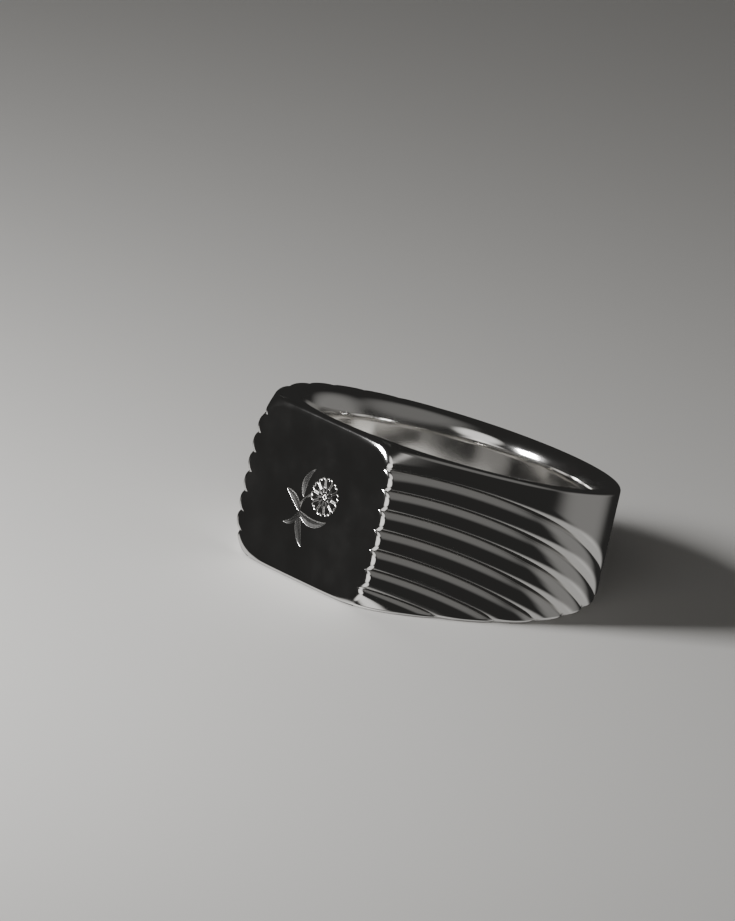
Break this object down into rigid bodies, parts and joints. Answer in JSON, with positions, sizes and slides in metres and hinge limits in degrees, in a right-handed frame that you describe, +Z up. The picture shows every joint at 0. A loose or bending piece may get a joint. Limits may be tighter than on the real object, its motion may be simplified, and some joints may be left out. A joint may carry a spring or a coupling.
{
  "type": "signet ring",
  "caption": "Cushion-faced signet ring with fluted shoulders, a tapering band and a flower engraved on its flat table.",
  "frame": {"origin": "on the surface that the ring lies on, under the middle of its bounding box", "axes": "+Z up through the finger hole, with the ring on its lower side face; -Y out of the table, which leans 5 degrees up from it; +X to the right shoulder"},
  "size_m": [0.0228, 0.023, 0.0108],
  "materials": {
    "polished_silver": "mirror polished",
    "engraved_silver": "mirror polished, engraved"
  },
  "bodies": {
    "root": {"signet_table": "engraved_silver", "head_block": "polished_silver", "shoulder_right": "polished_silver", "shoulder_left": "polished_silver", "back_shank": "polished_silver"}
  },
  "joints": []
}
